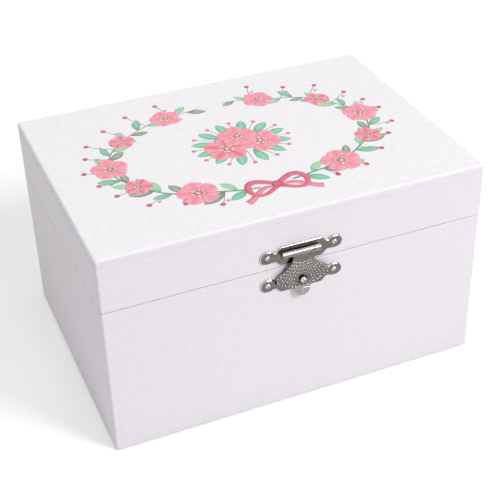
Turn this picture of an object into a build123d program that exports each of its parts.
from build123d import *
import math
import os

os.makedirs("parts", exist_ok=True)

# A musical jewelry box: a paper-wrapped box of board with a hinged lid, a front clasp,
# lined compartments, and a wound musical movement that turns a small dancer.
# Sizes are in millimetres. X runs left to right, Y front to back, Z up.
# The origin is the centre of the underside.

# The closed box
box_width = 152.0
box_depth = 109.0
box_height = 86.5
lid_height = 22.0
parting_gap = 0.3
edge_round = 1.0
rim_round = 0.3

# Boards, paper and felt
paper = 0.4
wall_board = 5.0
top_board = 2.5
bottom_board = 3.0
felt = 0.5
felt_inset = 4.0
seam_depth = 0.15
seam_height = 0.6

# Linings of the base
liner = 1.2
floor_liner_thickness = 1.5
liner_rim_drop = 1.0
panel_front_y = -6.0
panel_thickness = 2.0
divider_thickness = 2.0
deck_height = 28.8
deck_thickness = 3.0
rest_width = 5.0
rest_height = 5.0
rest_back_gap = 1.9

# Rolls that hold rings, in two sets beside the dancer
roll_count = 4
roll_width = 10.8
roll_pitch = 11.5
roll_wall = 6.0
roll_start_x = 25.0
roll_end_gap = 1.0
roll_front_gap = 1.6

# Linings of the lid
side_lining = 1.0
side_lining_rim = 0.8
ceiling_pad = 2.4
mirror_width = 100.0
mirror_depth = 62.0
mirror_thickness = 2.0
mirror_centre_y = -6.0
mirror_fit = 0.2
trim_overlap = 1.5
trim_thickness = 0.8

# Two stop hinges on the back
hinge_inset = 28.0
hinge_width = 20.0
hinge_leaf = 0.9
hinge_leaf_reach = 9.6
hinge_axis_out = 2.0
hinge_axis_above_rim = 0.15
hinge_knuckle_radius = 1.7
hinge_pin_radius = 0.7
hinge_middle_width = 6.6
hinge_side_gap = 0.2
hinge_notch_gap = 0.3
hinge_nail_x = 6.0
hinge_nail_z = 6.0
open_angle = 100.0
stop_tab_length = 4.35
stop_tab_thickness = 1.0
stop_tab_gap = 0.05
stop_tab_pin_gap = 0.5
pin_clearance = 0.05

# Domed nails
nail_head_radius = 0.95
nail_head_height = 0.5
nail_radius = 0.5
nail_length = 4.0
nail_clearance = 0.05

# Clasp on the front, with heights from the parting line
plate_thickness = 0.6
plate_half_width = 10.3
plate_shoulder = 2.1
plate_bevel = 0.25
ear_x = 13.3
ear_straight = 1.0
ear_radius = 2.6
neck_half_height = 1.95
lid_plate_rise = 0.95
lid_plate_height = 7.85
lid_ear_rise = 5.4
base_plate_drop = 2.75
base_plate_height = 7.85
base_ear_drop = 6.6
clasp_axis_rise = 6.1
clasp_axis_out = 2.0
clasp_knuckle_radius = 1.25
clasp_pin_radius = 0.6
clasp_pin_recess = 0.3
clasp_left_reach = 8.3
clasp_right_reach = 6.6
hasp_knuckle_half = 4.0
knuckle_gap = 0.2
knuckle_groove_count = 7
knuckle_groove_pitch = 0.9
knuckle_groove_radius = 0.2
hasp_thickness = 0.5
hasp_gap = 0.2
hasp_neck_drop = 3.1
hasp_waist_x = 5.8
hasp_waist_drop = 6.1
hasp_wide_x = 10.4
hasp_wide_drop = 9.5
hasp_corner_drop = 12.3
hasp_length = 16.3
hasp_hole_drop = 12.9
hasp_hole_radius = 2.0
scallop_radius = 0.6
scallop_pitch = 1.45
stud_drop = 6.3
stud_radius = 1.3
stud_height = 1.5
rib_count = 9
rib_fan = 42.0
rib_start = 5.0
fan_step = 0.25
rib_radius = 0.16
rib_margin = 0.7
bead_radius = 0.3
bead_pitch = 1.5
tab_radius = 3.1
tab_neck = 0.8
tab_bend = 20.0
tab_knurls = 9
tab_groove_radius = 0.16

# Movement, measured from the floor of the box and the centre of the turntable
turntable_y = 28.3
bed_thickness = 2.5
bed_left_x = -14.0
bed_right_x = 52.0
bed_front_y = 3.0
upright_thickness = 2.0
axis_height = 12.8
shaft_clearance = 0.05
shaft_end_gap = 0.2
bearing_plate = 1.4

# Spring barrel, its crown gear and the winding arbor
gear_module = 0.6
crown_teeth = 36
pinion_teeth = 18
crown_face = 1.8
crown_addendum = 0.5
gear_dedendum = 0.65
mesh_gap = 0.05
pinion_foot_gap = 1.0
cap_thickness = 1.0
barrel_radius = 11.4
barrel_wall = 1.2
barrel_length = 11.0
arbor_radius = 1.6
arbor_core_radius = 2.8
arbor_end_gap = 0.5
spring_strip = 0.35
spring_strip_width = 8.0
spring_start_radius = 3.3
spring_pitch = 1.0
spring_turns = 6

# Winding key and the grommet in the back
grommet_flange_radius = 5.5
grommet_flange = 0.8
grommet_outer_radius = 4.2
grommet_inner_radius = 3.4
grommet_fit = 0.1
key_gap = 0.5
key_hub_radius = 2.6
key_hub_length = 8.0
key_wing_x = 6.6
key_wing_radius = 5.0
key_wing_eye_radius = 2.4
key_wing_thickness = 2.0
key_wing_overhang = 6.0

# Pinned cylinder and comb
cylinder_radius = 6.5
cylinder_left_x = 13.5
cylinder_right_x = 34.5
pin_radius = 0.25
pin_reach = 0.7
pins_per_track = 5
journal_radius = 1.0
journal_end = 0.2
bracket_left_x = 4.5
bracket_width = 3.0
bracket_half_depth = 3.2
pinion_face = 1.6
comb_teeth = 18
comb_pitch = 1.1
comb_tooth_width = 0.8
comb_thickness = 1.2
comb_tip_gap = 0.2
comb_rise = 0.1
comb_back_y = 8.0
comb_bass_root_y = 13.0
comb_treble_root_y = 16.5
shelf_front_y = 5.0
shelf_depth = 8.0

# Great wheel, governor wheel, worm and fly
fine_module = 0.45
great_teeth = 48
great_face = 2.0
great_left_x = 36.0
fine_pinion_teeth = 8
fine_pinion_overhang = 0.2
governor_axle_radius = 0.8
plate_gap = 0.8
worm_wheel_module = 0.5
worm_wheel_teeth = 24
worm_wheel_face = 1.0
worm_x = 42.0
worm_pitch_radius = 1.8
worm_core_radius = 1.2
worm_thread_radius = 0.42
worm_thread_centre = 1.55
worm_turns = 5
outer_plate_x = 45.0
governor_plate_half = 3.4
inner_plate_rise = 4.4
bridge_thickness = 1.2
bridge_half_width = 2.5
fly_shaft_radius = 0.7
fly_low = 5.3
fly_height = 5.6
fly_half_width = 3.8
fly_thickness = 0.6
footstep_height = 3.0
footstep_radius = 2.2

# Stop wire, pressed down by the closed lid
stop_x = 49.0
stop_y = 45.0
stop_radius = 0.6
stop_arm_radius = 0.5
stop_bend = 1.2
stop_arm_above_axis = 7.5
stop_foot_gap = 0.5
stop_guide_height = 8.0
stop_guide_half = 2.4
stop_guide_fit = 0.1
stop_bottom_gap = 1.0
stop_top_gap = 0.4

# Turntable and dancer
post_radius = 3.2
spindle_pivot_radius = 1.0
spindle_radius = 1.5
spindle_depth = 2.9
bush_radius = 3.0
bush_flange_radius = 4.5
bush_flange = 0.6
disc_gap = 0.6
disc_radius = 17.0
disc_thickness = 1.6
coil_radius = 1.9
coil_wire_radius = 0.3
coil_turns = 5
coil_height = 5.9
coil_seat_gap = 0.1
plug_height = 2.0
dancer_headroom = 2.8
leg_share = 0.412
torso_share = 0.235
neck_share = 0.041
head_share = 0.068
arm_share = 0.159
arm_radius_share = 0.01765
tutu_radius = 11.0
tutu_waist = 1.7
tutu_thickness = 1.0
tutu_rise = 1.6

# Screws of the movement
screw_head_radius = 1.6
screw_head_height = 0.9
screw_radius = 0.8
screw_length = 4.0
screw_slot = 0.4

comb_screw_inset = 1.8
comb_screw_pitch = 7.5
bed_screws = [(-11.5, 6.0), (-11.5, 30.0), (20.0, 43.0), (46.0, 36.0)]

# Shape of the gear teeth
pressure_angle = math.radians(20)
mesh_share = 0.38
worm_wheel_share = 0.32
fine_addendum = 0.36
fine_dedendum = 0.5
worm_wheel_addendum = 0.4
worm_wheel_dedendum = 0.6

# Places that follow from the sizes above
half_width = box_width / 2
half_depth = box_depth / 2
board_x = half_width - paper
board_y = half_depth - paper
board_round = edge_round - paper
inner_x = board_x - wall_board
inner_y = board_y - wall_board
lined_x = inner_x - liner
lined_y = inner_y - liner
lid_bottom = box_height - lid_height
base_top = lid_bottom - parting_gap
base_rim = base_top - paper
lid_rim = lid_bottom + paper
lid_board_top = box_height - paper
ceiling = lid_board_top - top_board
pad_under = ceiling - ceiling_pad
board_foot = felt + paper
floor_top = board_foot + bottom_board
bin_floor = floor_top + floor_liner_thickness
liner_top = base_rim - liner_rim_drop
deck_under = floor_top + deck_height
deck_top = deck_under + deck_thickness
panel_back_y = panel_front_y + panel_thickness

hinge_x = half_width - hinge_inset
hinge_y = half_depth + hinge_axis_out
hinge_z = base_top + hinge_axis_above_rim
hinge_face = half_depth + hinge_leaf

lid_plate_low = lid_bottom + lid_plate_rise
lid_plate_high = lid_plate_low + lid_plate_height
lid_ear_z = lid_bottom + lid_ear_rise
base_plate_high = base_top - base_plate_drop
base_plate_low = base_plate_high - base_plate_height
base_ear_z = base_top - base_ear_drop
stud_z = base_top - stud_drop
clasp_axis_z = lid_bottom + clasp_axis_rise
hasp_neck_z = clasp_axis_z - hasp_neck_drop
hasp_waist_z = clasp_axis_z - hasp_waist_drop
hasp_wide_z = clasp_axis_z - hasp_wide_drop
hasp_corner_z = clasp_axis_z - hasp_corner_drop
hasp_bottom_z = clasp_axis_z - hasp_length
hasp_hole_z = clasp_axis_z - hasp_hole_drop

front = -half_depth
plate_front = front - plate_thickness
clasp_y = front - clasp_axis_out
hasp_face = clasp_y - hasp_thickness
hasp_tilt = math.degrees(math.asin((clasp_axis_out - plate_thickness - hasp_gap) / hasp_length))
clasp_axis = Axis((0, clasp_y, clasp_axis_z), (1, 0, 0))

bed_top = floor_top + bed_thickness
axis_z = bed_top + axis_height
upright_front_y = lined_y - upright_thickness
pinion_radius = gear_module * pinion_teeth / 2
crown_radius = gear_module * crown_teeth / 2
crown_pitch_y = turntable_y + pinion_radius + mesh_gap
crown_root_y = crown_pitch_y + gear_dedendum
barrel_front_y = crown_root_y
barrel_back_y = barrel_front_y + barrel_length
great_radius = fine_module * great_teeth / 2
fine_pinion_radius = fine_module * fine_pinion_teeth / 2
great_right_x = great_left_x + great_face
governor_y = turntable_y - great_radius - fine_pinion_radius
inner_plate_x = great_right_x + plate_gap
inner_plate_right_x = inner_plate_x + bearing_plate
outer_plate_right_x = outer_plate_x + bearing_plate
worm_wheel_radius = worm_wheel_module * worm_wheel_teeth / 2
worm_y = governor_y - worm_wheel_radius - worm_pitch_radius
worm_lead = math.pi * worm_wheel_module
bridge_top = axis_z + axis_height
bridge_under = bridge_top - bridge_thickness
comb_tip_y = turntable_y - cylinder_radius - pin_reach - comb_tip_gap
comb_top = axis_z + comb_rise
comb_under = comb_top - comb_thickness
comb_middle_x = (cylinder_left_x + cylinder_right_x) / 2
comb_screw_y = comb_back_y + comb_screw_inset
comb_screws = [(comb_middle_x + step * comb_screw_pitch, comb_screw_y) for step in (-1, 0, 1)]
pinion_low_z = axis_z + crown_radius - pinion_face / 2
disc_under = deck_top + bush_flange + disc_gap
disc_top = disc_under + disc_thickness
dancer_foot = disc_top + coil_height
dancer_height = pad_under - dancer_headroom - dancer_foot
arm_radius = arm_radius_share * dancer_height
leg_height = leg_share * dancer_height
torso_height = torso_share * dancer_height
neck_height = neck_share * dancer_height
head_radius = head_share * dancer_height
hip_z = dancer_foot + plug_height + leg_height
shoulder_z = hip_z + torso_height
head_z = shoulder_z + neck_height + head_radius
arm_z = axis_z + stop_arm_above_axis


def block(x, y, z):
    """A box between two planes on each axis, each given as a pair."""
    sides = (x, y, z)
    centre = [(low + high) / 2 for low, high in sides]
    size = [high - low for low, high in sides]
    return Pos(*centre) * Box(*size)


def prism(half_x, half_y, low, high, corner):
    """An upright block about the Z axis with rounded vertical corners."""
    outline = RectangleRounded(2 * half_x, 2 * half_y, corner)
    return extrude(Pos(0, 0, low) * outline, amount=high - low)


def rod(start, end, radius):
    """A straight round rod from one point to another."""
    run = Vector(*end) - Vector(*start)
    return extrude(Plane(origin=start, z_dir=run) * Circle(radius), amount=run.length)


def tube(start, end, outer, bore):
    """A straight round sleeve."""
    return rod(start, end, outer) - rod(start, end, bore)


def join(pieces):
    """Fuse a list of solids into one."""
    return pieces[0].fuse(*pieces[1:])


def save(name, *solids):
    """Write one piece, or a group of loose pieces, to its own file."""
    shape = solids[0] if len(solids) == 1 else Compound(children=list(solids))
    export_step(shape, f"parts/{name}.step")


def front_plane(y):
    """A drawing plane seen from the front: X to the right and Z up."""
    return Plane(origin=(0, y, 0), x_dir=(1, 0, 0), z_dir=(0, -1, 0))


def across_plane(x, y, z):
    """A plane across the X axis, with Y and Z as its own directions."""
    return Plane(origin=(x, y, z), x_dir=(0, 1, 0), z_dir=(1, 0, 0))


def nail(head_at, direction):
    """A nail with a domed head, driven in against the given direction."""
    cap_radius = (nail_head_radius**2 + nail_head_height**2) / (2 * nail_head_height)
    dome = Pos(0, 0, nail_head_height - cap_radius) * Sphere(cap_radius)
    limit = Pos(0, 0, nail_head_height / 2) * Cylinder(nail_head_radius, nail_head_height)
    shank = Pos(0, 0, -nail_length / 2) * Cylinder(nail_radius, nail_length)
    return Plane(origin=head_at, z_dir=direction) * ((dome & limit) + shank)


def nail_hole(head_at, direction):
    """The hole that a nail goes through."""
    end = Vector(*head_at) - Vector(*direction) * (nail_length + nail_clearance)
    return rod(head_at, tuple(end), nail_radius + nail_clearance)


# Where the nails go
def ear_nails(ear_z):
    """Nail heads on the two ears of a clasp plate."""
    return [(side * ear_x, plate_front, ear_z) for side in (-1, 1)]


def leaf_nails(centre_x, z):
    """Nail heads on one leaf of a back hinge."""
    return [(centre_x + side * hinge_nail_x, hinge_face, z) for side in (-1, 1)]


to_front = (0, -1, 0)
to_back = (0, 1, 0)
hinge_centres = (-hinge_x, hinge_x)
base_leaf_z = hinge_z - hinge_nail_z
lid_leaf_z = hinge_z + hinge_nail_z
base_front_nails = ear_nails(base_ear_z)
lid_front_nails = ear_nails(lid_ear_z)
base_back_nails = leaf_nails(-hinge_x, base_leaf_z) + leaf_nails(hinge_x, base_leaf_z)
lid_back_nails = leaf_nails(-hinge_x, lid_leaf_z) + leaf_nails(hinge_x, lid_leaf_z)


def drill(shape, heads, direction):
    """Cut the nail holes out of a board, a cover or a plate."""
    for head in heads:
        shape = shape - nail_hole(head, direction)
    return shape


def key_passage(radius):
    """The round way through the back wall for the winding arbor."""
    return rod((0, lined_y, axis_z), (0, half_depth, axis_z), radius)


# Base boards and covers
def base_core():
    """The outer form of the base boards together."""
    return prism(board_x, board_y, board_foot, base_rim, board_round)


def base_front_board():
    board = block((-board_x, board_x), (-board_y, -inner_y), (board_foot, base_rim))
    return drill(board & base_core(), base_front_nails, to_front)


def base_back_board():
    board = block((-board_x, board_x), (inner_y, board_y), (board_foot, base_rim))
    board = drill(board & base_core(), base_back_nails, to_back)
    return board - key_passage(grommet_outer_radius + grommet_fit)


def side_board(side, low, high):
    """A side board between the front and back boards."""
    outer, inner = sorted((side * inner_x, side * board_x))
    return block((outer, inner), (-inner_y, inner_y), (low, high))


def base_bottom_board():
    board = block((-inner_x, inner_x), (-inner_y, inner_y), (board_foot, floor_top))
    for x, y in bed_screws:
        tip_z = bed_top - screw_length
        board = board - rod((x, y, tip_z), (x, y, floor_top), screw_radius)
    return board


def base_paper_cover():
    outer = prism(half_width, half_depth, felt, base_top, edge_round)
    outer = fillet(outer.faces().sort_by(Axis.Z)[-1].edges(), rim_round)
    mouth = block((-inner_x, inner_x), (-inner_y, inner_y), (base_rim, base_top))
    cover = outer - base_core() - mouth
    cover = drill(cover, base_front_nails, to_front)
    cover = drill(cover, base_back_nails, to_back)
    return cover - key_passage(grommet_outer_radius + grommet_fit)


def build_base_shell():
    save("base_front_board", base_front_board())
    save("base_back_board", base_back_board())
    save("base_left_board", side_board(-1, board_foot, base_rim))
    save("base_right_board", side_board(1, board_foot, base_rim))
    save("base_bottom_board", base_bottom_board())
    save("base_paper_cover", base_paper_cover())
    felt_x = half_width - felt_inset
    felt_y = half_depth - felt_inset
    save("base_felt_sheet", block((-felt_x, felt_x), (-felt_y, felt_y), (0, felt)))


# Linings and compartments of the base
def deck_board():
    board = block((-lined_x, lined_x), (panel_front_y, lined_y), (deck_under, deck_top))
    spindle_way = rod((0, turntable_y, deck_under), (0, turntable_y, deck_top), bush_radius)
    wire_radius = stop_radius + stop_guide_fit
    wire_way = rod((stop_x, stop_y, deck_under), (stop_x, stop_y, deck_top), wire_radius)
    return board - spindle_way - wire_way


def rest_strips():
    strip_x = (lined_x - rest_width, lined_x)
    strip_y = (panel_back_y, lined_y - rest_back_gap)
    strip_z = (deck_under - rest_height, deck_under)
    right = block(strip_x, strip_y, strip_z)
    return mirror(right, Plane.YZ), right


def ring_roll(index):
    """One padded roll along X, with a domed top."""
    dome_radius = roll_width / 2
    first_y = panel_front_y + roll_front_gap + dome_radius
    centre_y = first_y + index * roll_pitch
    body = Pos(0, roll_wall / 2) * Rectangle(roll_width, roll_wall)
    dome = Pos(0, roll_wall) * Circle(dome_radius)
    section = body + dome
    length = lined_x - roll_end_gap - roll_start_x
    return extrude(across_plane(roll_start_x, centre_y, deck_top) * section, amount=length)


def build_base_lining():
    wall_z = (floor_top, liner_top)
    front_wall = block((-inner_x, inner_x), (-inner_y, -lined_y), wall_z)
    back_wall = block((-inner_x, inner_x), (lined_y, inner_y), wall_z)
    right_wall = block((lined_x, inner_x), (-lined_y, lined_y), wall_z)
    save("front_liner", front_wall)
    save("back_liner", back_wall - key_passage(grommet_outer_radius + grommet_fit))
    save("left_liner", mirror(right_wall, Plane.YZ))
    save("right_liner", right_wall)
    bin_y = (-lined_y, panel_front_y)
    save("floor_liner", block((-lined_x, lined_x), bin_y, (floor_top, bin_floor)))
    half_divider = divider_thickness / 2
    save("compartment_divider", block((-half_divider, half_divider), bin_y, (bin_floor, deck_top)))
    panel_y = (panel_front_y, panel_back_y)
    save("deck_front_panel", block((-lined_x, lined_x), panel_y, (floor_top, deck_under)))
    save("deck_board", deck_board())
    save("deck_rest_strips", *rest_strips())
    rolls = [ring_roll(index) for index in range(roll_count)]
    save("ring_rolls_right", *rolls)
    save("ring_rolls_left", *[mirror(roll, Plane.YZ) for roll in rolls])


# Lid
def lid_core():
    """The outer form of the lid boards together."""
    core = prism(board_x, board_y, lid_rim, lid_board_top, board_round)
    return fillet(core.faces().sort_by(Axis.Z)[-1].edges(), board_round)


def lid_cover():
    outer = prism(half_width, half_depth, lid_bottom, box_height, edge_round)
    outer = fillet(outer.faces().sort_by(Axis.Z)[-1].edges(), edge_round)
    outer = fillet(outer.faces().sort_by(Axis.Z)[0].edges(), rim_round)
    mouth = block((-inner_x, inner_x), (-inner_y, inner_y), (lid_bottom, lid_rim))
    seam_low = ceiling - seam_height / 2
    seam_high = ceiling + seam_height / 2
    seam_x = half_width - seam_depth
    seam_y = half_depth - seam_depth
    seam = prism(box_width, box_depth, seam_low, seam_high, edge_round)
    seam = seam - prism(seam_x, seam_y, seam_low, seam_high, edge_round - seam_depth)
    cover = outer - lid_core() - mouth - seam
    cover = drill(cover, lid_front_nails, to_front)
    return drill(cover, lid_back_nails, to_back)


def build_lid_shell():
    core = lid_core()
    top = block((-board_x, board_x), (-board_y, board_y), (ceiling, lid_board_top))
    save("lid_top_board", top & core)
    front_board = block((-board_x, board_x), (-board_y, -inner_y), (lid_rim, ceiling))
    save("lid_front_board", drill(front_board & core, lid_front_nails, to_front))
    back_board = block((-board_x, board_x), (inner_y, board_y), (lid_rim, ceiling))
    save("lid_back_board", drill(back_board & core, lid_back_nails, to_back))
    save("lid_left_board", side_board(-1, lid_rim, ceiling))
    save("lid_right_board", side_board(1, lid_rim, ceiling))
    save("lid_paper_cover", lid_cover())


def build_lid_lining():
    lining_z = (lid_rim + side_lining_rim, pad_under)
    ring = block((-inner_x, inner_x), (-inner_y, inner_y), lining_z)
    hollow_x = inner_x - side_lining
    hollow_y = inner_y - side_lining
    ring = ring - block((-hollow_x, hollow_x), (-hollow_y, hollow_y), lining_z)
    save("lid_side_lining", ring)
    half_x = mirror_width / 2
    half_y = mirror_depth / 2
    mirror_y = (mirror_centre_y - half_y, mirror_centre_y + half_y)
    window_x = (-half_x - mirror_fit, half_x + mirror_fit)
    window_y = (mirror_y[0] - mirror_fit, mirror_y[1] + mirror_fit)
    pad = block((-inner_x, inner_x), (-inner_y, inner_y), (pad_under, ceiling))
    save("lid_ceiling_pad", pad - block(window_x, window_y, (pad_under, ceiling)))
    save("lid_mirror", block((-half_x, half_x), mirror_y, (ceiling - mirror_thickness, ceiling)))
    trim_z = (pad_under - trim_thickness, pad_under)
    outer_x = window_x[1] + trim_overlap
    outer_y = (window_y[0] - trim_overlap, window_y[1] + trim_overlap)
    eye_x = half_x - trim_overlap
    eye_y = (mirror_y[0] + trim_overlap, mirror_y[1] - trim_overlap)
    trim = block((-outer_x, outer_x), outer_y, trim_z) - block((-eye_x, eye_x), eye_y, trim_z)
    save("mirror_trim", trim)


# Back hinges
def knuckle(centre_x, from_x, to_x):
    """One knuckle of a back hinge, still without its bore."""
    start = (centre_x + from_x, hinge_y, hinge_z)
    return rod(start, (centre_x + to_x, hinge_y, hinge_z), hinge_knuckle_radius)


def hinge_bore(centre_x):
    half = hinge_width / 2
    radius = hinge_pin_radius + pin_clearance
    start = (centre_x - half, hinge_y, hinge_z)
    return rod(start, (centre_x + half, hinge_y, hinge_z), radius)


def base_leaf(centre_x):
    half = hinge_width / 2
    middle = hinge_middle_width / 2 + hinge_side_gap
    leaf_x = (centre_x - half, centre_x + half)
    leaf = block(leaf_x, (half_depth, hinge_face), (hinge_z - hinge_leaf_reach, hinge_z))
    clear = hinge_knuckle_radius + hinge_notch_gap
    notch_x = (centre_x - middle, centre_x + middle)
    leaf = leaf - block(notch_x, (half_depth, hinge_face), (hinge_z - clear, hinge_z))
    leaf = join([leaf, knuckle(centre_x, -half, -middle), knuckle(centre_x, middle, half)])
    return drill(leaf - hinge_bore(centre_x), leaf_nails(centre_x, base_leaf_z), to_back)


def stop_tab(centre_x):
    """The tab that meets the base leaf when the lid is open, drawn there and turned back."""
    half = hinge_middle_width / 2
    tab_y = hinge_face + stop_tab_gap
    tab_z = (hinge_z - stop_tab_length, hinge_z - hinge_pin_radius - stop_tab_pin_gap)
    tab = block((centre_x - half, centre_x + half), (tab_y, tab_y + stop_tab_thickness), tab_z)
    return tab.rotate(Axis((centre_x, hinge_y, hinge_z), (1, 0, 0)), open_angle)


def lid_leaf(centre_x):
    half = hinge_width / 2
    middle = hinge_middle_width / 2
    clear = hinge_knuckle_radius + hinge_notch_gap
    leaf_x = (centre_x - half, centre_x + half)
    leaf_z = (hinge_z + clear, hinge_z + hinge_leaf_reach)
    leaf = block(leaf_x, (half_depth, hinge_face), leaf_z)
    neck_x = (centre_x - middle, centre_x + middle)
    neck = block(neck_x, (half_depth, hinge_face), (hinge_z, hinge_z + clear))
    leaf = join([leaf, neck, knuckle(centre_x, -middle, middle), stop_tab(centre_x)])
    return drill(leaf - hinge_bore(centre_x), leaf_nails(centre_x, lid_leaf_z), to_back)


def hinge_pin(centre_x):
    half = hinge_width / 2
    start = (centre_x - half, hinge_y, hinge_z)
    return rod(start, (centre_x + half, hinge_y, hinge_z), hinge_pin_radius)


def build_hinges():
    for side, centre_x in zip(("left", "right"), hinge_centres):
        save(f"hinge_{side}_base_leaf", base_leaf(centre_x))
        save(f"hinge_{side}_lid_leaf", lid_leaf(centre_x))
    save("hinge_pins", *[hinge_pin(centre_x) for centre_x in hinge_centres])


# Clasp
def eared_plate(low, high, ear_z):
    """A plate with sloping shoulders and a round ear at each end."""
    body = Rectangle(2 * plate_half_width, high - low)
    body = chamfer(body.vertices(), plate_shoulder)
    neck = Rectangle(2 * ear_x, 2 * neck_half_height)
    outline = Pos(0, (low + high) / 2) * (body + neck)
    for side in (-1, 1):
        outline += Pos(side * ear_x, ear_z) * SlotCenterToCenter(ear_straight, 2 * ear_radius)
    plate = extrude(front_plane(front) * outline, amount=plate_thickness)
    plate = chamfer(plate.faces().sort_by(Axis.Y)[0].edges(), plate_bevel)
    return drill(plate, ear_nails(ear_z), to_front)


def clasp_knuckle(from_x, to_x):
    return rod((from_x, clasp_y, clasp_axis_z), (to_x, clasp_y, clasp_axis_z), clasp_knuckle_radius)


def clasp_bore():
    start = (-clasp_left_reach, clasp_y, clasp_axis_z)
    end = (clasp_right_reach, clasp_y, clasp_axis_z)
    return rod(start, end, clasp_pin_radius + pin_clearance)


def clasp_lid_plate():
    pieces = [eared_plate(lid_plate_low, lid_plate_high, lid_ear_z)]
    inner = hasp_knuckle_half + knuckle_gap
    for span in ((-clasp_left_reach, -inner), (inner, clasp_right_reach)):
        pieces.append(clasp_knuckle(*span))
        web_z = (clasp_axis_z - clasp_knuckle_radius, clasp_axis_z)
        pieces.append(block(span, (clasp_y, plate_front), web_z))
    return join(pieces) - clasp_bore()


def clasp_base_plate():
    plate = eared_plate(base_plate_low, base_plate_high, base_ear_z)
    foot = (0, plate_front, stud_z)
    stem = rod(foot, (0, plate_front - stud_height, stud_z), stud_radius)
    dome = Pos(0, plate_front - stud_height, stud_z) * Sphere(stud_radius)
    dome = dome & block((-stud_radius, stud_radius), (front - box_depth, plate_front), (0, box_height))
    return join([plate, stem, dome])


def hasp_outline():
    """The shell-shaped outline of the hasp, from its knuckle to its bottom arc."""
    lines = []
    for side in (-1, 1):
        top = (side * hasp_knuckle_half, clasp_axis_z)
        neck = (side * hasp_knuckle_half, hasp_neck_z)
        waist = (side * hasp_waist_x, hasp_waist_z)
        wide = (side * hasp_wide_x, hasp_wide_z)
        corner = (side * hasp_wide_x, hasp_corner_z)
        lines += [Line(top, neck), ThreePointArc(neck, waist, wide), Line(wide, corner)]
    corners = (-hasp_wide_x, hasp_corner_z), (hasp_wide_x, hasp_corner_z)
    lines.append(ThreePointArc(corners[0], (0, hasp_bottom_z), corners[1]))
    lines.append(Line((-hasp_knuckle_half, clasp_axis_z), (hasp_knuckle_half, clasp_axis_z)))
    return make_face(lines)


def hasp_scallops():
    """Small rounds in a row along the bottom arc of the hasp."""
    corners = (-hasp_wide_x, hasp_corner_z), (hasp_wide_x, hasp_corner_z)
    arc = ThreePointArc(corners[0], (0, hasp_bottom_z), corners[1])
    count = round(arc.length / scallop_pitch)
    places = [arc.position_at((index + 0.5) / count) for index in range(count)]
    return [Pos(place) * Circle(scallop_radius) for place in places]


def bead(x, z):
    return Pos(x, hasp_face, z) * Sphere(bead_radius)


def fan_place(along, angle):
    """A place on one line of the fan, as its X and Z, at a distance from the hinge."""
    return along * math.sin(angle), clasp_axis_z - along * math.cos(angle)


def fan_run(angle, inside):
    """The distances along one line of the fan that are clear of the edge and the hole."""
    clear = []
    for index in range(round((hasp_length - rib_start) / fan_step)):
        along = rib_start + index * fan_step
        x, z = fan_place(along, angle)
        from_hole = math.hypot(x, z - hasp_hole_z)
        if inside.is_inside((x, z, 0)) and from_hole > hasp_hole_radius + rib_margin:
            clear.append(along)
    return clear


def rib(start, end, angle):
    start_x, start_z = fan_place(start, angle)
    end_x, end_z = fan_place(end, angle)
    return rod((start_x, hasp_face, start_z), (end_x, hasp_face, end_z), rib_radius)


def hasp_ribs(plain):
    """Raised ribs that fan out from the knuckle, with beads between them and round the edge."""
    step = 2 * rib_fan / (rib_count - 1)
    inside = offset(plain, -rib_margin).face()
    raised = []
    for index in range(rib_count):
        angle = math.radians(index * step - rib_fan)
        clear = fan_run(angle, inside)
        breaks = [place for place in range(1, len(clear)) if clear[place] - clear[place - 1] > 1.5 * fan_step]
        for first, last in zip([0] + breaks, breaks + [len(clear)]):
            if last - first > 1:
                raised.append(rib(clear[first], clear[last - 1], angle))
    for index in range(rib_count - 1):
        angle = math.radians((index + 0.5) * step - rib_fan)
        clear = fan_run(angle, inside)
        raised += [bead(*fan_place(along, angle)) for along in clear[:: round(bead_pitch / fan_step)]]
    rim = offset(plain, -rib_margin / 2).face().outer_wire()
    count = round(rim.length / bead_pitch)
    places = [rim.position_at(index / count) for index in range(count)]
    return raised + [bead(place.X, place.Y) for place in places if place.Y < hasp_neck_z]


def finger_tab():
    """The round tab below the hasp, bent outward and knurled."""
    half_disc = Circle(tab_radius) & Pos(0, -tab_radius / 2) * Rectangle(3 * tab_radius, tab_radius)
    outline = Pos(0, -tab_neck) * half_disc
    outline += Pos(0, -tab_neck / 2) * Rectangle(2 * tab_radius, tab_neck)
    tab = extrude(Plane.XZ * outline, amount=hasp_thickness)
    centre = (0, -hasp_thickness, -tab_neck)
    for index in range(tab_knurls):
        angle = math.radians(180 / tab_knurls * (index + 0.5))
        end = (tab_radius * math.cos(angle), -hasp_thickness, -tab_neck - tab_radius * math.sin(angle))
        tab = tab - rod(centre, end, tab_groove_radius)
    tab = tab.rotate(Axis.X, -tab_bend)
    return Pos(0, clasp_y, hasp_bottom_z + hasp_thickness / 2) * tab


def knuckle_grooves():
    """Fine rings cut round the middle of the hasp's knuckle."""
    first = -(knuckle_groove_count - 1) / 2
    rings = []
    for index in range(knuckle_groove_count):
        x = (first + index) * knuckle_groove_pitch
        ring = Torus(clasp_knuckle_radius, knuckle_groove_radius)
        rings.append(across_plane(x, clasp_y, clasp_axis_z) * ring)
    return rings


def clasp_hasp():
    plain = hasp_outline()
    outline = plain
    for scallop in hasp_scallops():
        outline += scallop
    plate = extrude(front_plane(clasp_y) * outline, amount=hasp_thickness)
    leaf = join([plate, finger_tab()] + hasp_ribs(plain)).rotate(clasp_axis, hasp_tilt)
    hasp = join([leaf, clasp_knuckle(-hasp_knuckle_half, hasp_knuckle_half)])
    hasp = hasp - rod((0, front, hasp_hole_z), (0, front - box_depth, hasp_hole_z), hasp_hole_radius)
    for ring in knuckle_grooves():
        hasp = hasp - ring
    return hasp - clasp_bore()


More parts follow.
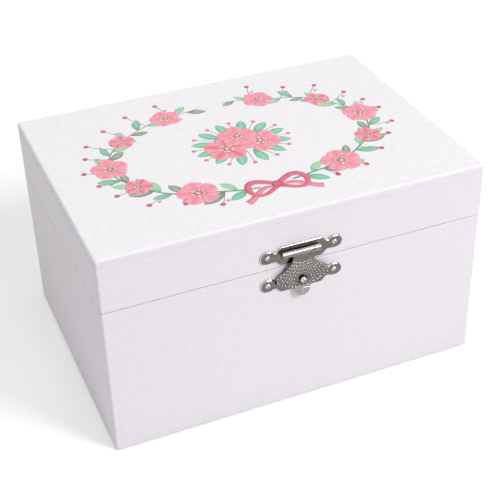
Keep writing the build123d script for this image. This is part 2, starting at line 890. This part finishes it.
def build_clasp():
    save("clasp_lid_plate", clasp_lid_plate())
    save("clasp_base_plate", clasp_base_plate())
    save("clasp_hasp", clasp_hasp())
    start = (-clasp_left_reach + clasp_pin_recess, clasp_y, clasp_axis_z)
    end = (clasp_right_reach - clasp_pin_recess, clasp_y, clasp_axis_z)
    save("clasp_pin", rod(start, end, clasp_pin_radius))
    base_nails = [nail(head, to_front) for head in base_front_nails]
    base_nails += [nail(head, to_back) for head in base_back_nails]
    save("base_nails", *base_nails)
    lid_nails = [nail(head, to_front) for head in lid_front_nails]
    lid_nails += [nail(head, to_back) for head in lid_back_nails]
    save("lid_nails", *lid_nails)


# Gears
def flank_turn(radius, pitch_radius):
    """How far an involute flank has turned at a radius, in radians."""
    base_radius = pitch_radius * math.cos(pressure_angle)
    reach = math.sqrt(max((radius / base_radius) ** 2 - 1, 0))
    return reach - math.atan(reach)


def gear_outline(teeth, module, addendum, dedendum, share, turned):
    """A spur gear's outline, with one tooth towards local X when turned is zero."""
    pitch_radius = module * teeth / 2
    levels = [pitch_radius - dedendum, pitch_radius, pitch_radius + addendum / 2]
    levels.append(pitch_radius + addendum)
    at_pitch = share * math.pi / teeth + flank_turn(pitch_radius, pitch_radius)
    halves = [at_pitch - flank_turn(level, pitch_radius) for level in levels]
    points = []
    for tooth in range(teeth):
        middle = 2 * math.pi * tooth / teeth + turned
        rising = [(level, middle - half) for level, half in zip(levels, halves)]
        falling = [(level, middle + half) for level, half in zip(levels, halves)]
        for level, angle in rising + falling[::-1]:
            points.append((level * math.cos(angle), level * math.sin(angle)))
    return make_face(Polyline(*points, close=True))


def main_pinion(turned):
    """The outline that both the cylinder's and the turntable's pinions share."""
    return gear_outline(
        pinion_teeth, gear_module, crown_addendum, gear_dedendum, mesh_share, turned
    )


def crown_tooth():
    """One crown tooth at the right of the barrel, pointing to the front."""
    half_pitch = mesh_share * math.pi * gear_module / 2
    slope = math.tan(pressure_angle)
    tip_half = half_pitch - crown_addendum * slope
    root_half = half_pitch + gear_dedendum * slope
    tip_y = crown_pitch_y - crown_addendum
    outline = make_face(
        Polyline(
            (crown_root_y, -root_half),
            (tip_y, -tip_half),
            (tip_y, tip_half),
            (crown_root_y, root_half),
            close=True,
        )
    )
    inner_radius = crown_radius - crown_face / 2
    return extrude(across_plane(inner_radius, 0, axis_z) * outline, amount=crown_face)


def biarc(start, start_way, end, end_way):
    """Two arcs that leave one point and reach another along given directions."""
    chord = end - start
    ways = start_way + end_way
    turn = 2 * (1 - start_way.dot(end_way))
    lean = chord.dot(ways)
    reach = (math.sqrt(lean**2 + turn * chord.dot(chord)) - lean) / turn
    first_corner = start + start_way * reach
    last_corner = end - end_way * reach
    meet = (first_corner + last_corner) * 0.5
    arcs = []
    for low, corner, high in ((start, first_corner, meet), (meet, last_corner, end)):
        opening = (corner - low).get_angle(high - corner)
        weight = math.cos(math.radians(opening / 2))
        crest = (low + corner * (2 * weight) + high) * (1 / (2 + 2 * weight))
        arcs.append(ThreePointArc(low, crest, high))
    return arcs


def helix_path(radius, pitch, turns, first_angle, low_z):
    """A right-handed helix about the Z axis, as a biarc for each half turn."""
    rise = pitch / (2 * math.pi)
    arcs = []
    last = None
    for half_turn in range(2 * turns + 1):
        angle = first_angle + math.pi * half_turn
        spot = Vector(radius * math.cos(angle), radius * math.sin(angle), low_z + pitch * half_turn / 2)
        way = Vector(-radius * math.sin(angle), radius * math.cos(angle), rise).normalized()
        if last:
            arcs += biarc(last[0], last[1], spot, way)
        last = (spot, way)
    return Wire(arcs)


def wound_tube(path, wire_radius):
    """A round wire along a path."""
    start = Plane(origin=path.position_at(0), z_dir=path.tangent_at(0))
    return sweep(start * Circle(wire_radius), path=path)


def least_gap(path, turns, wire_radius):
    """The smallest gap between one turn of a coil and another, from points along it."""
    steps = 48
    spots = [path.position_at(index / (steps * turns)) for index in range(steps * turns + 1)]
    gaps = []
    for index, spot in enumerate(spots):
        for other in spots[index + steps // 2 :]:
            gaps.append((other - spot).length)
    return min(gaps) - 2 * wire_radius


# Movement
def bearing_hole(start, end, radius):
    return rod(start, end, radius + shaft_clearance)


def movement_bedplate():
    plate = block((bed_left_x, bed_right_x), (bed_front_y, lined_y), (floor_top, bed_top))
    upright_top = axis_z + axis_height - shaft_clearance
    half_upright = barrel_radius + upright_thickness
    upright_y = (upright_front_y, lined_y)
    upright = block((-half_upright, half_upright), upright_y, (bed_top, upright_top))
    post_top = pinion_low_z - pinion_foot_gap
    post = rod((0, turntable_y, bed_top), (0, turntable_y, post_top), post_radius)
    bracket_x = (bracket_left_x, bracket_left_x + bracket_width)
    bracket_y = (turntable_y - bracket_half_depth, turntable_y + bracket_half_depth)
    bracket = block(bracket_x, bracket_y, (bed_top, axis_z + bracket_half_depth))
    shelf_y = (shelf_front_y, shelf_front_y + shelf_depth)
    shelf = block((cylinder_left_x, cylinder_right_x), shelf_y, (bed_top, comb_under))
    footstep_top = bed_top + footstep_height
    footstep = rod((worm_x, worm_y, bed_top), (worm_x, worm_y, footstep_top), footstep_radius)
    guide_x = (stop_x - stop_guide_half, stop_x + stop_guide_half)
    guide_y = (stop_y - stop_guide_half, stop_y + stop_guide_half)
    guide = block(guide_x, guide_y, (bed_top, bed_top + stop_guide_height))
    bed = join([plate, upright, post, bracket, shelf, footstep, guide])
    arbor_end = turntable_y - post_radius / 2
    bed = bed - bearing_hole((0, arbor_end, axis_z), (0, lined_y, axis_z), arbor_radius)
    pivot_low = axis_z + spindle_depth
    pivot = ((0, turntable_y, pivot_low), (0, turntable_y, post_top))
    bed = bed - bearing_hole(*pivot, spindle_pivot_radius)
    journal = ((bracket_x[0], turntable_y, axis_z), (bracket_x[1], turntable_y, axis_z))
    bed = bed - bearing_hole(*journal, journal_radius)
    bed = bed - bearing_hole((worm_x, worm_y, bed_top), (worm_x, worm_y, footstep_top), fly_shaft_radius)
    guide_top = bed_top + stop_guide_height
    guide_radius = stop_radius + stop_guide_fit
    bed = bed - rod((stop_x, stop_y, bed_top), (stop_x, stop_y, guide_top), guide_radius)
    for x, y in comb_screws:
        bed = bed - rod((x, y, comb_under - screw_length), (x, y, comb_under), screw_radius)
    for x, y in bed_screws:
        bed = bed - rod((x, y, floor_top), (x, y, bed_top), screw_radius)
    return bed


def governor_bracket():
    """Two bearing plates on a foot, with a bridge above the worm."""
    plate_y = (governor_y - governor_plate_half, governor_y + governor_plate_half)
    long_y = (plate_y[0], turntable_y + governor_plate_half + journal_radius)
    inner_z = (bed_top, axis_z + inner_plate_rise)
    inner = block((inner_plate_x, inner_plate_right_x), long_y, inner_z)
    outer = block((outer_plate_x, outer_plate_right_x), plate_y, (bed_top, bridge_top))
    foot = block((inner_plate_x, outer_plate_right_x), plate_y, (bed_top, bed_top + bearing_plate))
    bridge_z = (bridge_under, bridge_top)
    beam = block((worm_x - bridge_half_width, outer_plate_right_x), plate_y, bridge_z)
    tip_x = (worm_x - bridge_half_width, worm_x + bridge_half_width)
    tip = block(tip_x, (worm_y - bridge_half_width, plate_y[0]), bridge_z)
    bracket = join([inner, outer, foot, beam, tip])
    cylinder_line = (inner_plate_x, turntable_y, axis_z), (inner_plate_right_x, turntable_y, axis_z)
    bracket = bracket - bearing_hole(*cylinder_line, journal_radius)
    governor_line = (inner_plate_x, governor_y, axis_z), (outer_plate_right_x, governor_y, axis_z)
    bracket = bracket - bearing_hole(*governor_line, governor_axle_radius)
    worm_line = (worm_x, worm_y, bridge_under), (worm_x, worm_y, bridge_top)
    return bracket - bearing_hole(*worm_line, fly_shaft_radius)


def comb():
    """A steel comb whose teeth grow longer towards the bass end."""
    outline = make_face(
        Polyline(
            (cylinder_left_x, comb_back_y),
            (cylinder_right_x, comb_back_y),
            (cylinder_right_x, comb_treble_root_y),
            (cylinder_left_x, comb_bass_root_y),
            close=True,
        )
    )
    pieces = [extrude(Pos(0, 0, comb_under) * outline, amount=comb_thickness)]
    for index in range(comb_teeth):
        x = track_x(index)
        half = comb_tooth_width / 2
        tooth_y = (comb_bass_root_y - comb_pitch, comb_tip_y)
        pieces.append(block((x - half, x + half), tooth_y, (comb_under, comb_top)))
    plate = join(pieces)
    for x, y in comb_screws:
        plate = plate - rod((x, y, comb_under), (x, y, comb_top), screw_radius)
    return plate


def track_x(index):
    """The middle of one track of pins, which is also one tooth of the comb."""
    return comb_middle_x + (index - (comb_teeth - 1) / 2) * comb_pitch


def screw(x, y, seat_z):
    """A slotted screw standing upright in its hole."""
    head = rod((x, y, seat_z), (x, y, seat_z + screw_head_height), screw_head_radius)
    half = screw_slot / 2
    slot_z = (seat_z + screw_head_height / 2, seat_z + screw_head_height)
    slot = block((x - screw_head_radius, x + screw_head_radius), (y - half, y + half), slot_z)
    shank_low = (x, y, seat_z - screw_length)
    return join([head, rod(shank_low, (x, y, seat_z), screw_radius)]) - slot


def movement_screws():
    comb_set = [screw(x, y, comb_top) for x, y in comb_screws]
    bed_set = [screw(x, y, bed_top) for x, y in bed_screws]
    return comb_set + bed_set


def spring_barrel():
    """The barrel: a drum with two caps, the front one carrying the crown teeth."""
    rim_radius = crown_radius + crown_face / 2
    cap_back_y = barrel_front_y + cap_thickness
    front_cap = rod((0, barrel_front_y, axis_z), (0, cap_back_y, axis_z), rim_radius)
    drum = tube(
        (0, cap_back_y, axis_z),
        (0, barrel_back_y, axis_z),
        barrel_radius,
        barrel_radius - barrel_wall,
    )
    back_front_y = barrel_back_y - cap_thickness
    back_cap = rod((0, back_front_y, axis_z), (0, barrel_back_y, axis_z), barrel_radius)
    axis = Axis((0, 0, axis_z), (0, 1, 0))
    tooth = crown_tooth()
    teeth = [tooth.rotate(axis, 360 / crown_teeth * index) for index in range(crown_teeth)]
    body = join([front_cap, drum, back_cap] + teeth)
    return body - bearing_hole((0, barrel_front_y, axis_z), (0, barrel_back_y, axis_z), arbor_radius)


def mainspring():
    """A flat strip wound in half rings about two centres, half a pitch apart."""
    shift = spring_pitch / 2
    section = None
    for half_turn in range(2 * spring_turns):
        inner_radius = spring_start_radius + shift * half_turn
        centre_x = 0 if half_turn % 2 == 0 else -shift
        ring = Circle(inner_radius + spring_strip) - Circle(inner_radius)
        side = 1 if half_turn % 2 == 0 else -1
        half_plane = Pos(0, side * barrel_radius) * Rectangle(4 * barrel_radius, 2 * barrel_radius)
        half_ring = Pos(centre_x, 0) * (ring & half_plane)
        section = half_ring if section is None else section + half_ring
    middle_y = (barrel_front_y + barrel_back_y) / 2
    plane = front_plane(middle_y + spring_strip_width / 2)
    strip = extrude(plane * section, amount=spring_strip_width)
    return Pos(0, 0, axis_z) * strip


def winding_arbor():
    front_y = turntable_y - post_radius / 2 + arbor_end_gap
    core_front_y = barrel_front_y + cap_thickness + arbor_end_gap
    core_back_y = barrel_back_y - cap_thickness - arbor_end_gap
    key_start = half_depth + grommet_flange + key_gap
    shaft = rod((0, front_y, axis_z), (0, key_start, axis_z), arbor_radius)
    core = rod((0, core_front_y, axis_z), (0, core_back_y, axis_z), arbor_core_radius)
    return join([shaft, core])


def winding_key():
    key_start = half_depth + grommet_flange + key_gap
    hub_end = key_start + key_hub_length
    hub = rod((0, key_start, axis_z), (0, hub_end, axis_z), key_hub_radius)
    wing_y = key_start + key_hub_length - key_wing_radius / 2
    outline = None
    for side in (-1, 1):
        wing = Pos(side * key_wing_x, wing_y) * Circle(key_wing_radius)
        outline = wing if outline is None else outline + wing
    outline += Pos(0, wing_y) * Rectangle(2 * key_wing_x, key_wing_overhang)
    for side in (-1, 1):
        outline -= Pos(side * key_wing_x, wing_y) * Circle(key_wing_eye_radius)
    low_z = axis_z - key_wing_thickness / 2
    wings = extrude(Pos(0, 0, low_z) * outline, amount=key_wing_thickness)
    return join([hub, wings])


def key_grommet():
    flange_end = (0, half_depth + grommet_flange, axis_z)
    flange = rod((0, half_depth, axis_z), flange_end, grommet_flange_radius)
    sleeve = rod((0, lined_y, axis_z), flange_end, grommet_outer_radius)
    bore = rod((0, lined_y, axis_z), flange_end, grommet_inner_radius)
    return join([flange, sleeve]) - bore


def pinned_cylinder():
    """The pinion, the journals and the drum, whose pins follow a golden-angle pattern."""
    line = (turntable_y, axis_z)
    pinion_x = crown_radius - pinion_face / 2
    turned = math.pi / pinion_teeth
    pinion = extrude(across_plane(pinion_x, *line) * main_pinion(turned), amount=pinion_face)
    left_x = bracket_left_x - journal_end
    shaft = rod((left_x, *line), (inner_plate_right_x, *line), journal_radius)
    drum = rod((cylinder_left_x, *line), (cylinder_right_x, *line), cylinder_radius)
    pins = []
    golden = math.radians(137.5)
    reach = cylinder_radius + pin_reach
    for index in range(comb_teeth):
        for beat in range(pins_per_track):
            angle = golden * index + 2 * math.pi * beat / pins_per_track
            y = turntable_y + reach * math.cos(angle)
            z = axis_z + reach * math.sin(angle)
            x = track_x(index)
            pins.append(rod((x, *line), (x, y, z), pin_radius))
    return join([pinion, shaft, drum] + pins)


def great_wheel():
    outline = gear_outline(great_teeth, fine_module, fine_addendum, fine_dedendum, mesh_share, 0)
    line = (turntable_y, axis_z)
    wheel = extrude(across_plane(great_left_x, *line) * outline, amount=great_face)
    return wheel - rod((great_left_x, *line), (great_right_x, *line), journal_radius)


def governor_wheel():
    """The fine pinion, its axle and the worm wheel."""
    line = (governor_y, axis_z)
    pinion_x = great_left_x - fine_pinion_overhang
    pinion_face_width = great_face + 2 * fine_pinion_overhang
    turned = math.pi / fine_pinion_teeth
    fine = gear_outline(
        fine_pinion_teeth, fine_module, fine_addendum, fine_dedendum, mesh_share, turned
    )
    pinion = extrude(across_plane(pinion_x, *line) * fine, amount=pinion_face_width)
    shaft = rod((pinion_x, *line), (outer_plate_right_x, *line), governor_axle_radius)
    wheel_outline = gear_outline(
        worm_wheel_teeth,
        worm_wheel_module,
        worm_wheel_addendum,
        worm_wheel_dedendum,
        worm_wheel_share,
        0,
    )
    wheel_x = worm_x - worm_wheel_face / 2
    wheel = extrude(across_plane(wheel_x, *line) * wheel_outline, amount=worm_wheel_face)
    return join([pinion, shaft, wheel])


def governor_fly():
    """The worm, its shaft and the two-bladed fly that brakes in the air."""
    foot_z = bed_top + shaft_end_gap
    shaft = rod((0, 0, foot_z), (0, 0, bridge_top), fly_shaft_radius)
    half_turns = worm_turns / 2
    low_z = axis_z - worm_lead * half_turns
    core_low = low_z - 2 * worm_thread_radius
    core_high = axis_z + worm_lead * half_turns + 2 * worm_thread_radius
    core = rod((0, 0, core_low), (0, 0, core_high), worm_core_radius)
    path = helix_path(worm_thread_centre, worm_lead, worm_turns, math.pi / 2, low_z)
    thread = wound_tube(path, worm_thread_radius)
    blade_z = (axis_z + fly_low, axis_z + fly_low + fly_height)
    half = fly_thickness / 2
    blade = block((-fly_half_width, fly_half_width), (-half, half), blade_z)
    hub = rod((0, 0, blade_z[0]), (0, 0, blade_z[1]), worm_core_radius)
    return Pos(worm_x, worm_y, 0) * join([shaft, core, thread, blade, hub])


def stop_wire():
    """The upright that the lid presses, with an arm whose foot stops the fly."""
    bottom = (stop_x, stop_y, bed_top + stop_bottom_gap)
    top = (stop_x, stop_y, pad_under - stop_top_gap)
    elbow = (stop_x, worm_y, arm_z)
    foot = (worm_x + fly_half_width + stop_foot_gap, worm_y, arm_z)
    path = FilletPolyline((stop_x, stop_y, arm_z), elbow, foot, radius=stop_bend)
    return join([rod(bottom, top, stop_radius), wound_tube(path, stop_arm_radius)])


def build_movement():
    save("movement_bedplate", movement_bedplate())
    save("governor_bracket", governor_bracket())
    save("comb", comb())
    save("movement_screws", *movement_screws())
    save("spring_barrel", spring_barrel())
    save("mainspring", mainspring())
    save("winding_arbor", winding_arbor())
    save("winding_key", winding_key())
    save("key_grommet", key_grommet())
    save("pinned_cylinder", pinned_cylinder())
    save("cylinder_great_wheel", great_wheel())
    save("governor_wheel", governor_wheel())
    save("governor_fly", governor_fly())
    save("stop_wire", stop_wire())


# Turntable and dancer
def turntable_spindle():
    outline = main_pinion(0)
    pinion = extrude(Pos(0, 0, pinion_low_z) * outline, amount=pinion_face)
    pivot_low = axis_z + spindle_depth + shaft_end_gap
    pivot = rod((0, 0, pivot_low), (0, 0, pinion_low_z), spindle_pivot_radius)
    shaft = rod((0, 0, pinion_low_z), (0, 0, disc_under), spindle_radius)
    return Pos(0, turntable_y, 0) * join([pinion, pivot, shaft])


def spindle_bush():
    centre = (0, turntable_y)
    sleeve = rod((*centre, deck_under), (*centre, deck_top), bush_radius)
    flange = rod((*centre, deck_top), (*centre, deck_top + bush_flange), bush_flange_radius)
    bore = rod((*centre, deck_under), (*centre, deck_top + bush_flange), spindle_radius + shaft_clearance)
    return join([sleeve, flange]) - bore


def ballerina_spring():
    rise = coil_height - 2 * coil_wire_radius - 2 * coil_seat_gap
    pitch = rise / coil_turns
    low_z = disc_top + coil_seat_gap + coil_wire_radius
    path = helix_path(coil_radius, pitch, coil_turns, 0, low_z)
    gap = least_gap(path, coil_turns, coil_wire_radius)
    print(f"ballerina spring: {coil_turns} turns, least gap {gap:.2f} mm")
    return Pos(0, turntable_y, 0) * wound_tube(path, coil_wire_radius)


def dancer_arm(side):
    """One arm, curved up from the shoulder to above the head."""
    shoulder = (side * 0.87 * head_radius, 0, shoulder_z - 1.5 * arm_radius)
    elbow = (side * arm_share * dancer_height, 0, shoulder_z + 1.8 * head_radius)
    hand = (side * 1.5 * arm_radius, -arm_radius, dancer_foot + dancer_height - arm_radius)
    path = Wire([ThreePointArc(shoulder, elbow, hand)])
    return wound_tube(path, arm_radius) + Pos(*hand) * Sphere(arm_radius)


def ballerina_figure():
    """A plain dancer on the tips of her toes, as cones, a ball for the head and a bun."""
    foot_z = dancer_foot + plug_height
    plug = rod((0, 0, dancer_foot), (0, 0, foot_z), coil_radius + coil_wire_radius)
    rings = [
        (foot_z, 0.35),
        (foot_z + 0.3 * leg_height, 0.65),
        (foot_z + 0.52 * leg_height, 0.52),
        (hip_z, 1.09),
        (hip_z + 0.35 * torso_height, 0.7),
        (hip_z + 0.8 * torso_height, 1.0),
        (shoulder_z, 0.65),
        (shoulder_z + 1.4 * neck_height, 0.3),
    ]
    side = [(share * head_radius, z) for z, share in rings]
    profile = [(0, rings[0][0])] + side + [(0, rings[-1][0])]
    body = revolve(Plane.XZ * make_face(Polyline(*profile, close=True)), Axis.Z)
    head = Pos(0, 0, head_z) * Sphere(head_radius)
    bun = Pos(0, 0.6 * head_radius, head_z + 0.74 * head_radius) * Sphere(0.52 * head_radius)
    figure = join([plug, body, head, bun, dancer_arm(-1), dancer_arm(1)])
    return Pos(0, turntable_y, 0) * figure


def ballerina_tutu():
    """A shallow flared skirt about the hips."""
    profile = make_face(
        Polyline(
            (tutu_waist, hip_z + tutu_thickness),
            (tutu_waist, hip_z + 2 * tutu_thickness),
            (tutu_radius, hip_z + tutu_rise + tutu_thickness / 2),
            (tutu_radius, hip_z + tutu_rise),
            close=True,
        )
    )
    skirt = revolve(Plane.XZ * profile, Axis.Z)
    return Pos(0, turntable_y, 0) * skirt - ballerina_figure()


def build_dancer():
    save("turntable_spindle", turntable_spindle())
    save("spindle_bush", spindle_bush())
    disc = rod((0, turntable_y, disc_under), (0, turntable_y, disc_top), disc_radius)
    save("turntable_disc", fillet(disc.faces().sort_by(Axis.Z)[-1].edges(), rim_round))
    save("ballerina_spring", ballerina_spring())
    save("ballerina_figure", ballerina_figure())
    save("ballerina_tutu", ballerina_tutu())


build_base_shell()
build_base_lining()
build_lid_shell()
build_lid_lining()
build_hinges()
build_clasp()
build_movement()
build_dancer()
